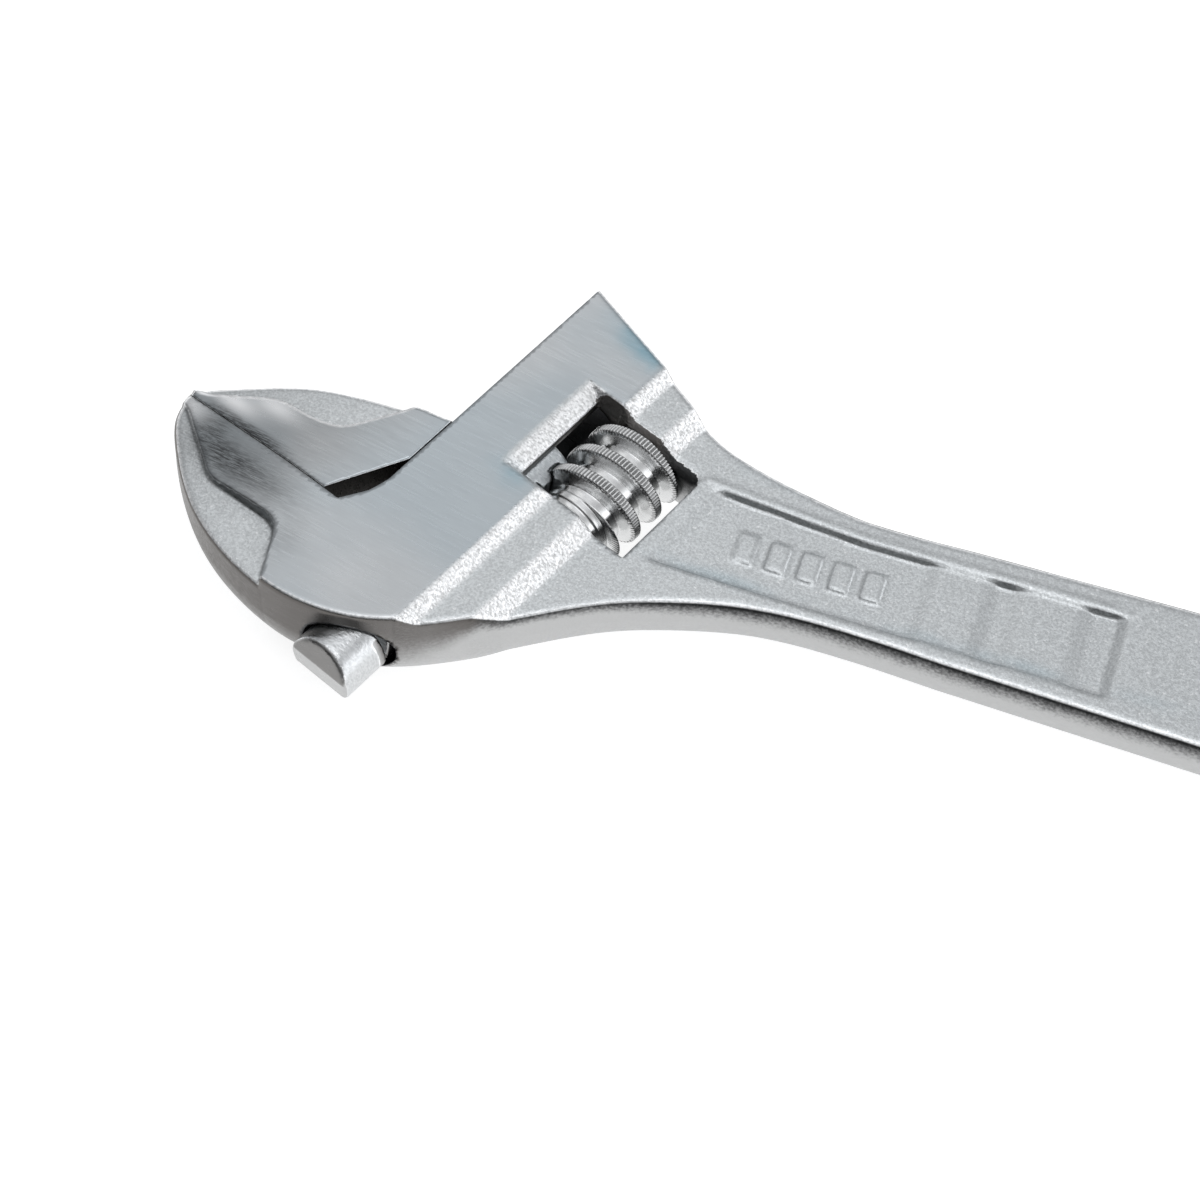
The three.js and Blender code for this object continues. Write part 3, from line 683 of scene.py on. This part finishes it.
def forged_finish(name, painted_step_line_tone, seam_place, seam_share):
    """Zinc plate on a forging: satin ground plates with painted shade towards the jaw tips, grained
    forged faces, walls with painted shade that clears to light grey towards the far side, a painted line
    along the rim's step, painted highlights at the face's edge and near the jaw tips, dark streaks, and
    faint blue tints."""
    f = Finish(name)
    grain, bright, depth = f.mark("grain"), f.mark("bright"), f.mark("depth")
    dim, dark = f.mark("dim"), f.mark("dark")
    cloud = f.noise(60, 4)
    brush = f.noise(1, 5, (160, 3000, 900), BRUSH_ANGLE, 0.6)
    scratch = f.noise(1, 5, (330, 3600, 900), BRUSH_ANGLE, 0.75)
    sparkle = f.noise(1900, 3, roughness=0.7)
    pits = f.noise(520, 3)
    specks = f.noise(1500, 2)

    ground = f.mix(f.span(cloud, 0.35, 0.7), GROUND, shaded(GROUND, 1.07))
    ground = f.mix(f.math("MULTIPLY", f.span(f.noise(21, 2), 0.38, 0.66), 0.75), ground, GROUND_BLUE)
    # Painted shade: the dim mark darkens the ground plates towards the jaw tips, where the brush lines
    # also show more.
    ground = f.mix(f.math("MULTIPLY", dim, 0.42), ground, shaded(GROUND, 0.42))
    lines = f.math("MULTIPLY", f.span(brush, 0.35, 0.75), f.math("MULTIPLY_ADD", dim, 0.16, 0.045))
    ground = f.mix(lines, ground, shaded(GROUND, 0.5))
    forged = f.mix(f.span(sparkle, 0.36, 0.66), shaded(FORGED, 0.84), shaded(FORGED, 1.12))
    forged = f.mix(f.math("MULTIPLY", f.span(specks, 0.62, 0.74), 0.55), forged, WHITE)
    colour = f.mix(grain, ground, forged)
    ripple = f.noise(1, 3, (1100, 2300, 1500), BRUSH_ANGLE)
    rough_slope = f.mix(f.span(ripple, 0.36, 0.6), shaded(BRIGHT, 0.86), WHITE)
    colour = f.mix(bright, colour, rough_slope)
    tint = f.math("MULTIPLY", f.mark("tint"), f.span(f.noise(75, 4), 0.3, 0.8), clamp=True)
    colour = f.mix(tint, colour, TEAL)

    # Dark streaks of wear on the fixed jaw, and painted shade in a wedge on the movable jaw.
    smudge = f.math("MULTIPLY_ADD", f.span(scratch, 0.34, 0.62), 0.85, 0.15)
    streak_and_painted_shade = f.math("MULTIPLY", f.mark("streak_and_painted_shade"), smudge, clamp=True)
    colour = f.mix(f.math("MULTIPLY", streak_and_painted_shade, 0.9), colour, SHADE_AND_STREAK_BLACK)
    # Painted highlights, in white, near the jaw tips.
    colour = f.mix(f.math("MULTIPLY", f.mark("painted_highlight"), 0.75, clamp=True), colour, WHITE)
    # A painted line along the rim's step, in the given tone: painted shade on the body, a painted
    # highlight on the movable jaw.
    line = f.math("ABSOLUTE", f.math("SUBTRACT", f.mark("seam"), seam_place))
    line = f.math("MULTIPLY", f.span(line, 0.2, 0.75, 1.0, 0.0), seam_share)
    colour = f.mix(line, colour, painted_step_line_tone)

    # Painted shade on the walls: a ragged dark band below the face's edge that clears towards the far
    # side.
    wall = f.span(depth, 0.28, 0.5)
    ragged = f.math("MULTIPLY_ADD", specks, f.span(dark, 0.91, 0.96, 0.3, 0.7), f.mark("fall"))
    ragged = f.math("MULTIPLY_ADD", f.noise(140, 4), 0.3, ragged)
    shade = f.math("MULTIPLY", dark, f.span(ragged, 0.52, 1.42, 1.0, 0.0))
    # Painted highlight: a broken white line along the very edge of the face.
    lip = f.math("MULTIPLY", f.span(depth, 0.03, 0.12), f.span(specks, 0.3, 0.6, 0.2, 0.85))
    colour = f.mix(lip, colour, WHITE)
    colour = f.mix(wall, colour, WALL)
    painted_shade_colour = f.mix(f.span(dark, 0.91, 0.96), PAINTED_SHADE_WARM, SHADE_AND_STREAK_BLACK)
    colour = f.mix(f.math("MULTIPLY", wall, shade), colour, painted_shade_colour)
    f.links.new(colour, f.shader.inputs["Base Color"])

    rough = f.math("ADD", f.span(brush, 0.3, 0.7, 0.26, 0.36), f.math("MULTIPLY", grain, 0.04))
    f.links.new(rough, f.shader.inputs["Roughness"])
    relief = f.math("ADD", sparkle, f.math("MULTIPLY", pits, 0.8))
    relief = f.math("MULTIPLY", relief, f.math("ADD", grain, 0.03))
    coarse = f.math("MULTIPLY", f.math("ADD", specks, ripple), bright)
    normal = f.bump(f.math("MULTIPLY", brush, f.math("SUBTRACT", 1.0, grain)), 0.000003)
    normal = f.bump(relief, 0.00008, normal)
    normal = f.bump(coarse, 0.00016, normal)
    f.links.new(normal, f.shader.inputs["Normal"])
    f.shader.inputs["Metallic"].default_value = 1.0
    return f.material


def turned_finish(name, colour, rough, grain):
    """Bright turned or drawn steel: fine lines, small stains, a little unevenness and painted shade in
    the grooves.
    """
    f = Finish(name)
    stain = f.span(f.noise(220, 4), 0.5, 0.8)
    lines = f.noise(1, 4, (300, 2600, 300), JAW_ANGLE)
    tone = f.mix(f.math("MULTIPLY", stain, 0.45), colour, shaded(colour, 0.55))
    # Painted shade in the knurl's grooves, from the groove mark.
    tone = f.mix(f.math("MULTIPLY", f.mark("groove"), 0.8), tone, shaded(colour, 0.12))
    f.links.new(tone, f.shader.inputs["Base Color"])
    f.links.new(f.span(lines, 0.3, 0.7, rough * 0.8, rough * 1.4), f.shader.inputs["Roughness"])
    normal = f.bump(lines, grain)
    f.links.new(f.bump(f.noise(260, 2), 0.00008, normal), f.shader.inputs["Normal"])
    f.shader.inputs["Metallic"].default_value = 1.0
    return f.material


def dress(piece, material, body, slot, *nodes):
    """Gives a piece its finish and its body, and hides the CAD nodes that it stands for. The slot is not
    used.
    """
    piece.data.materials.clear()
    piece.data.materials.append(material)
    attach(piece, body)
    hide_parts(*nodes)


# ---- the pieces ----

def make_body(material):
    """The body's skin: a fine grid over head and near handle, a coarser one towards the tail."""
    xs = steps((-47.5, 62, 0.62), (62, 172, 0.8), (172, TAIL_X + 2, 1.5))
    ys = steps((-25, -8, 0.54), (-8, 69.5, 0.68))
    zs = steps((-12.7, 12.8, 0.6))
    points, quads = skin(body_solid, xs, ys, zs)
    depth = body_height(points[:, 0], points[:, 1]) - np.abs(points[:, 2])
    piece = make_mesh("forged_body", points, quads, body_marks(points, depth))
    dress(piece, material, "body", "forged_body", "body")


def make_jaw(material):
    """The movable jaw's skin."""
    xs = steps((-44, 35, 0.48))
    ys = steps((-33.5, 35, 0.48))
    zs = steps((-12.5, 12.6, 0.5))
    points, quads = skin(jaw_solid, xs, ys, zs)
    depth = jaw_height(points[:, 0], points[:, 1]) - np.abs(points[:, 2])
    piece = make_mesh("sliding_jaw", points, quads, jaw_marks(points, depth))
    dress(piece, material, "jaw", "forged_jaw", "movable_jaw")


def worm_radius(angle, v):
    """Radius of the worm at an angle and a place along it: crests on a rising helix between conical
    flanks, chamfered and cut with an axial knurl, and a stepped plain hub at the foot."""
    crest = CREST_V + (angle - np.pi) * PITCH / (2 * np.pi)
    away = np.abs(np.mod(v - crest + PITCH / 2, PITCH) - PITCH / 2)
    flank = (ROOT_WIDTH / 2 - away) / (ROOT_WIDTH / 2 - CREST_WIDTH / 2) * (WORM_R - CORE_R)
    thread = CORE_R + np.clip(flank, 0, WORM_R - CORE_R)
    knurl = KNURL_DEPTH * (0.5 - 0.5 * np.cos(KNURL_TEETH * angle)) ** 0.8
    crown = 1 - ramp(CREST_WIDTH / 2 - 0.3, CREST_WIDTH / 2 - 0.05, away)
    chamfer = 0.22 * ramp(CREST_WIDTH / 2 - 0.3, CREST_WIDTH / 2 + 0.05, away)
    thread = thread - np.where(thread > WORM_R - 0.4, knurl * crown + chamfer, 0)
    foot = WIN_V1 - WORM_END_GAP
    plain = ramp(foot - HUB - 0.15, foot - HUB + 0.15, v)
    ring = ramp(1.5, 1.7, v - foot + HUB) * ramp(0.7, 0.9, foot - v)
    hub = CORE_R + 0.3 - 0.8 * ramp(foot - 0.7, foot, v) - 0.5 * ring
    return thread * (1 - plain) + hub * plain


def make_worm(material):
    """The worm: radius as a function of angle and place along the pin, closed by its bore and the
    spring's pocket. Its groove mark is 1 between two knurls, as a cosine round the crest, and puts
    painted shade into the grooves."""
    top, foot = WIN_V0 + WORM_END_GAP, WIN_V1 - WORM_END_GAP
    bore, top_ring, foot_ring = PIN_R + GAP, 4.6, 6.0
    places = np.linspace(top, foot, 150)
    columns = 6 * KNURL_TEETH
    angles = np.arange(columns) / columns * 2 * np.pi
    radius = worm_radius(angles[None, :], places[:, None])
    radius[0] -= 0.25
    rows_v = np.r_[top, top, places, foot, foot, foot - POCKET_DEPTH, foot - POCKET_DEPTH]
    flat = np.ones((1, columns))
    above = [r * flat for r in (bore, top_ring)]
    below = [r * flat for r in (foot_ring, POCKET_R, POCKET_R, bore)]
    rows_r = np.concatenate(above + [radius] + below)
    u = WORM_U + rows_r * np.cos(angles)[None, :]
    v = np.repeat(rows_v[:, None], columns, 1)
    z = rows_r * np.sin(angles)[None, :]
    flat_points = from_head(np.c_[u.ravel(), v.ravel()])
    points = np.c_[flat_points, z.ravel()]
    # painted shade between the knurl teeth, near the crests
    between = (0.5 - 0.5 * np.cos(KNURL_TEETH * angles)) * (rows_r > WORM_R - 0.75)
    piece = make_mesh("knurled_worm", points, ring_faces(*u.shape), {"groove": between.ravel()})
    dress(piece, material, "worm", "worm_steel", "worm")


def ring_faces(rows, columns):
    """Four-sided faces of a grid of points that closes on itself both ways."""
    index = np.arange(rows * columns).reshape(rows, columns)
    right, below = np.roll(index, -1, axis=1), np.roll(index, -1, axis=0)
    corner = np.roll(right, -1, axis=0)
    return np.stack([index, right, corner, below], -1).reshape(-1, 4)


def finish_node(node, material):
    """Gives a CAD node that stays its finish."""
    piece = frame["nodes"][node]
    piece.data.materials.clear()
    piece.data.materials.append(material)


# The body's step line is painted shade; the movable jaw's is a painted highlight.
FORGED_STEEL = forged_finish("zinc_plated_forging", SHADE_AND_STREAK_BLACK, -0.1, 0.5)
JAW_STEEL = forged_finish("zinc_plated_jaw", WHITE, 0.3, 1.0)
make_body(FORGED_STEEL)
make_jaw(JAW_STEEL)
make_worm(turned_finish("bright_worm_steel", (0.74, 0.745, 0.745), 0.2, 0.00001))
finish_node("worm_pin", turned_finish("turned_pin_steel", (0.62, 0.63, 0.635), 0.3, 0.00001))
finish_node("worm_spring", turned_finish("drawn_spring_wire", (0.5, 0.505, 0.51), 0.32, 0.00001))


# ---- floor, light and surroundings ----

def add_floor():
    """A plain pale floor that gives off some light of its own, so that shadows stay faint."""
    half, below = 12, 0.0004
    corners = [(-half, -half, 0), (half, -half, 0), (half, half, 0), (-half, half, 0)]
    mesh = bpy.data.meshes.new("floor")
    mesh.from_pydata(corners, [], [(0, 1, 2, 3)])
    floor = bpy.data.objects.new("floor", mesh)
    floor.location.z = -below
    bpy.context.scene.collection.objects.link(floor)
    material = bpy.data.materials.new("pale_floor")
    material.use_nodes = True
    shader = material.node_tree.nodes["Principled BSDF"]
    shader.inputs["Base Color"].default_value = (0.5, 0.5, 0.5, 1)
    shader.inputs["Roughness"].default_value = 0.9
    shader.inputs["Specular IOR Level"].default_value = 0.0
    shader.inputs["Emission Color"].default_value = (1, 1, 1, 1)
    shader.inputs["Emission Strength"].default_value = 0.78
    mesh.materials.append(material)


def add_light(name, place, size, power, tone=(1, 1, 1)):
    """A soft square light that points at the head."""
    data = bpy.data.lights.new(name, "AREA")
    data.shape, data.size, data.size_y = "RECTANGLE", size[0], size[1]
    data.energy, data.color = power, tone
    light = bpy.data.objects.new(name, data)
    aim = Vector((-0.08, 0.0, 0.0)) - Vector(place)
    light.rotation_euler = aim.to_track_quat("-Z", "Y").to_euler()
    light.location = place
    bpy.context.scene.collection.objects.link(light)


def add_surroundings():
    """Studio walls: pale overhead, bright low down to the right and behind, dark on the near side."""
    world = bpy.data.worlds.new("studio")
    bpy.context.scene.world = world
    world.use_nodes = True
    nodes, links = world.node_tree.nodes, world.node_tree.links
    direction = nodes.new("ShaderNodeTexCoord").outputs["Generated"]
    split = nodes.new("ShaderNodeSeparateXYZ")
    links.new(direction, split.inputs[0])

    def tones(source, stops):
        """A smooth run of greys, slightly cool, from pairs of a place and its tone."""
        band = nodes.new("ShaderNodeValToRGB")
        band.color_ramp.interpolation = "EASE"
        elements = band.color_ramp.elements
        while len(elements) < len(stops):
            elements.new(0.5)
        for element, (place, tone) in zip(elements, stops):
            element.position = place
            element.color = (tone, tone * 1.01, tone * 1.03, 1)
        links.new(source, band.inputs[0])
        return band.outputs[0]

    def from_minus_one(source):
        """A number from -1 to 1 brought to the range from 0 to 1."""
        halved = nodes.new("ShaderNodeMath")
        halved.operation = "MULTIPLY_ADD"
        halved.inputs[1].default_value = 0.5
        halved.inputs[2].default_value = 0.5
        links.new(source, halved.inputs[0])
        return halved.outputs[0]

    across, along, up = (split.outputs[axis] for axis in "XYZ")
    near = tones(from_minus_one(along), ((0.1, 0.05), (0.3, 0.07), (0.5, 0.35), (0.9, 0.6)))
    right = tones(from_minus_one(across), ((0.72, 0.0), (0.93, 1.4)))
    walls = nodes.new("ShaderNodeMix")
    walls.data_type, walls.blend_type = "RGBA", "ADD"
    walls.inputs[0].default_value = 1.0
    links.new(near, walls.inputs[6])
    links.new(right, walls.inputs[7])
    overhead = ((0.0, 0.3), (0.5, 0.35), (0.72, 0.55), (0.86, 0.68), (0.97, 1.2), (1.0, 1.7))
    ceiling = tones(up, overhead)
    height = tones(up, ((0.3, 0.0), (0.75, 1.0)))
    room = nodes.new("ShaderNodeMix")
    room.data_type = "RGBA"
    for place, source in ((0, height), (6, walls.outputs[2]), (7, ceiling)):
        links.new(source, room.inputs[place])
    links.new(room.outputs[2], nodes["Background"].inputs["Color"])


add_floor()
add_surroundings()
add_light("window_light", (-0.5, 0.9, 1.2), (0.8, 0.5), 0.6)
add_light("top_light", (0.35, -0.1, 1.3), (0.5, 0.5), 0.8)
bpy.context.scene.view_settings.view_transform = "Standard"
